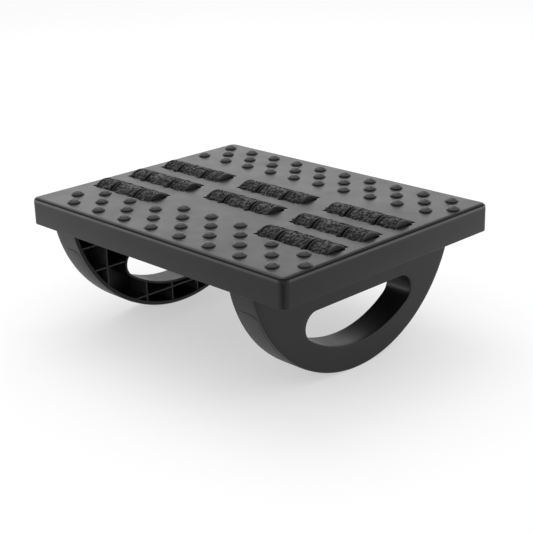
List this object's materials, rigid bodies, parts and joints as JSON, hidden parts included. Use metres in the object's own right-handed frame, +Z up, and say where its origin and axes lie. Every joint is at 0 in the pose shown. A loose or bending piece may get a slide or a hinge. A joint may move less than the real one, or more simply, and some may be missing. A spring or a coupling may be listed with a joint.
{
  "type": "massage footrest",
  "caption": "Black plastic rocking footrest: flat deck with raised domes and sunk spiked foot rollers, on two half-moon legs with grip holes.",
  "frame": {"origin": "on the floor, under the middle of the deck's plan", "axes": "+X along the deck's long side and the roller axles, +Y away from the sitter, +Z up"},
  "size_m": [0.45, 0.35, 0.176],
  "materials": {
    "deck_plastic": "fine satin moulding grain",
    "roller_plastic": "satin moulding",
    "rocker_plastic": "satin moulding",
    "bar_plastic": "plain moulding",
    "tread_rubber": "matt with a fine cross hatch",
    "axle_steel": "drawn bright",
    "screw_steel": "zinc plated"
  },
  "bodies": {
    "frame": {"deck": "deck_plastic", "rocker_left": "rocker_plastic", "rocker_right": "rocker_plastic", "tread_left": "tread_rubber", "tread_right": "tread_rubber", "axle_left_front": "axle_steel", "axle_left_middle": "axle_steel", "axle_left_back": "axle_steel", "axle_centre_middle": "axle_steel", "axle_centre_back": "axle_steel", "axle_right_front": "axle_steel", "axle_right_middle": "axle_steel", "axle_right_back": "axle_steel", "axle_bar_left_outer": "bar_plastic", "axle_bar_left_inner": "bar_plastic", "axle_bar_right_outer": "bar_plastic", "axle_bar_right_inner": "bar_plastic", "bar_screw_left_outer_front": "screw_steel", "bar_screw_left_outer_back": "screw_steel", "bar_screw_left_inner_front": "screw_steel", "bar_screw_left_inner_back": "screw_steel", "bar_screw_right_outer_front": "screw_steel", "bar_screw_right_outer_back": "screw_steel", "bar_screw_right_inner_front": "screw_steel", "bar_screw_right_inner_back": "screw_steel", "rocker_screw_left_1": "screw_steel", "rocker_screw_left_2": "screw_steel", "rocker_screw_left_3": "screw_steel", "rocker_screw_left_4": "screw_steel", "rocker_screw_right_1": "screw_steel", "rocker_screw_right_2": "screw_steel", "rocker_screw_right_3": "screw_steel", "rocker_screw_right_4": "screw_steel"},
    "roller_left_front_1": {"roller_left_front_1": "roller_plastic"},
    "roller_left_front_2": {"roller_left_front_2": "roller_plastic"},
    "roller_left_front_3": {"roller_left_front_3": "roller_plastic"},
    "roller_left_middle_1": {"roller_left_middle_1": "roller_plastic"},
    "roller_left_middle_2": {"roller_left_middle_2": "roller_plastic"},
    "roller_left_middle_3": {"roller_left_middle_3": "roller_plastic"},
    "roller_left_back_1": {"roller_left_back_1": "roller_plastic"},
    "roller_left_back_2": {"roller_left_back_2": "roller_plastic"},
    "roller_left_back_3": {"roller_left_back_3": "roller_plastic"},
    "roller_centre_middle_1": {"roller_centre_middle_1": "roller_plastic"},
    "roller_centre_middle_2": {"roller_centre_middle_2": "roller_plastic"},
    "roller_centre_middle_3": {"roller_centre_middle_3": "roller_plastic"},
    "roller_centre_back_1": {"roller_centre_back_1": "roller_plastic"},
    "roller_centre_back_2": {"roller_centre_back_2": "roller_plastic"},
    "roller_centre_back_3": {"roller_centre_back_3": "roller_plastic"},
    "roller_right_front_1": {"roller_right_front_1": "roller_plastic"},
    "roller_right_front_2": {"roller_right_front_2": "roller_plastic"},
    "roller_right_front_3": {"roller_right_front_3": "roller_plastic"},
    "roller_right_middle_1": {"roller_right_middle_1": "roller_plastic"},
    "roller_right_middle_2": {"roller_right_middle_2": "roller_plastic"},
    "roller_right_middle_3": {"roller_right_middle_3": "roller_plastic"},
    "roller_right_back_1": {"roller_right_back_1": "roller_plastic"},
    "roller_right_back_2": {"roller_right_back_2": "roller_plastic"},
    "roller_right_back_3": {"roller_right_back_3": "roller_plastic"}
  },
  "joints": [
    {"name": "roller_left_front_1_spin", "type": "hinge", "parent": "frame", "child": "roller_left_front_1", "pos_m": [-0.15, -0.073, 0.1552], "axis": [1, 0, 0], "continuous": true},
    {"name": "roller_left_front_2_spin", "type": "hinge", "parent": "frame", "child": "roller_left_front_2", "pos_m": [-0.15, -0.073, 0.1552], "axis": [1, 0, 0], "continuous": true},
    {"name": "roller_left_front_3_spin", "type": "hinge", "parent": "frame", "child": "roller_left_front_3", "pos_m": [-0.15, -0.073, 0.1552], "axis": [1, 0, 0], "continuous": true},
    {"name": "roller_left_middle_1_spin", "type": "hinge", "parent": "frame", "child": "roller_left_middle_1", "pos_m": [-0.15, -0.016, 0.1552], "axis": [1, 0, 0], "continuous": true},
    {"name": "roller_left_middle_2_spin", "type": "hinge", "parent": "frame", "child": "roller_left_middle_2", "pos_m": [-0.15, -0.016, 0.1552], "axis": [1, 0, 0], "continuous": true},
    {"name": "roller_left_middle_3_spin", "type": "hinge", "parent": "frame", "child": "roller_left_middle_3", "pos_m": [-0.15, -0.016, 0.1552], "axis": [1, 0, 0], "continuous": true},
    {"name": "roller_left_back_1_spin", "type": "hinge", "parent": "frame", "child": "roller_left_back_1", "pos_m": [-0.15, 0.041, 0.1552], "axis": [1, 0, 0], "continuous": true},
    {"name": "roller_left_back_2_spin", "type": "hinge", "parent": "frame", "child": "roller_left_back_2", "pos_m": [-0.15, 0.041, 0.1552], "axis": [1, 0, 0], "continuous": true},
    {"name": "roller_left_back_3_spin", "type": "hinge", "parent": "frame", "child": "roller_left_back_3", "pos_m": [-0.15, 0.041, 0.1552], "axis": [1, 0, 0], "continuous": true},
    {"name": "roller_centre_middle_1_spin", "type": "hinge", "parent": "frame", "child": "roller_centre_middle_1", "pos_m": [0, -0.016, 0.1552], "axis": [1, 0, 0], "continuous": true},
    {"name": "roller_centre_middle_2_spin", "type": "hinge", "parent": "frame", "child": "roller_centre_middle_2", "pos_m": [0, -0.016, 0.1552], "axis": [1, 0, 0], "continuous": true},
    {"name": "roller_centre_middle_3_spin", "type": "hinge", "parent": "frame", "child": "roller_centre_middle_3", "pos_m": [0, -0.016, 0.1552], "axis": [1, 0, 0], "continuous": true},
    {"name": "roller_centre_back_1_spin", "type": "hinge", "parent": "frame", "child": "roller_centre_back_1", "pos_m": [0, 0.041, 0.1552], "axis": [1, 0, 0], "continuous": true},
    {"name": "roller_centre_back_2_spin", "type": "hinge", "parent": "frame", "child": "roller_centre_back_2", "pos_m": [0, 0.041, 0.1552], "axis": [1, 0, 0], "continuous": true},
    {"name": "roller_centre_back_3_spin", "type": "hinge", "parent": "frame", "child": "roller_centre_back_3", "pos_m": [0, 0.041, 0.1552], "axis": [1, 0, 0], "continuous": true},
    {"name": "roller_right_front_1_spin", "type": "hinge", "parent": "frame", "child": "roller_right_front_1", "pos_m": [0.15, -0.073, 0.1552], "axis": [1, 0, 0], "continuous": true},
    {"name": "roller_right_front_2_spin", "type": "hinge", "parent": "frame", "child": "roller_right_front_2", "pos_m": [0.15, -0.073, 0.1552], "axis": [1, 0, 0], "continuous": true},
    {"name": "roller_right_front_3_spin", "type": "hinge", "parent": "frame", "child": "roller_right_front_3", "pos_m": [0.15, -0.073, 0.1552], "axis": [1, 0, 0], "continuous": true},
    {"name": "roller_right_middle_1_spin", "type": "hinge", "parent": "frame", "child": "roller_right_middle_1", "pos_m": [0.15, -0.016, 0.1552], "axis": [1, 0, 0], "continuous": true},
    {"name": "roller_right_middle_2_spin", "type": "hinge", "parent": "frame", "child": "roller_right_middle_2", "pos_m": [0.15, -0.016, 0.1552], "axis": [1, 0, 0], "continuous": true},
    {"name": "roller_right_middle_3_spin", "type": "hinge", "parent": "frame", "child": "roller_right_middle_3", "pos_m": [0.15, -0.016, 0.1552], "axis": [1, 0, 0], "continuous": true},
    {"name": "roller_right_back_1_spin", "type": "hinge", "parent": "frame", "child": "roller_right_back_1", "pos_m": [0.15, 0.041, 0.1552], "axis": [1, 0, 0], "continuous": true},
    {"name": "roller_right_back_2_spin", "type": "hinge", "parent": "frame", "child": "roller_right_back_2", "pos_m": [0.15, 0.041, 0.1552], "axis": [1, 0, 0], "continuous": true},
    {"name": "roller_right_back_3_spin", "type": "hinge", "parent": "frame", "child": "roller_right_back_3", "pos_m": [0.15, 0.041, 0.1552], "axis": [1, 0, 0], "continuous": true}
  ]
}
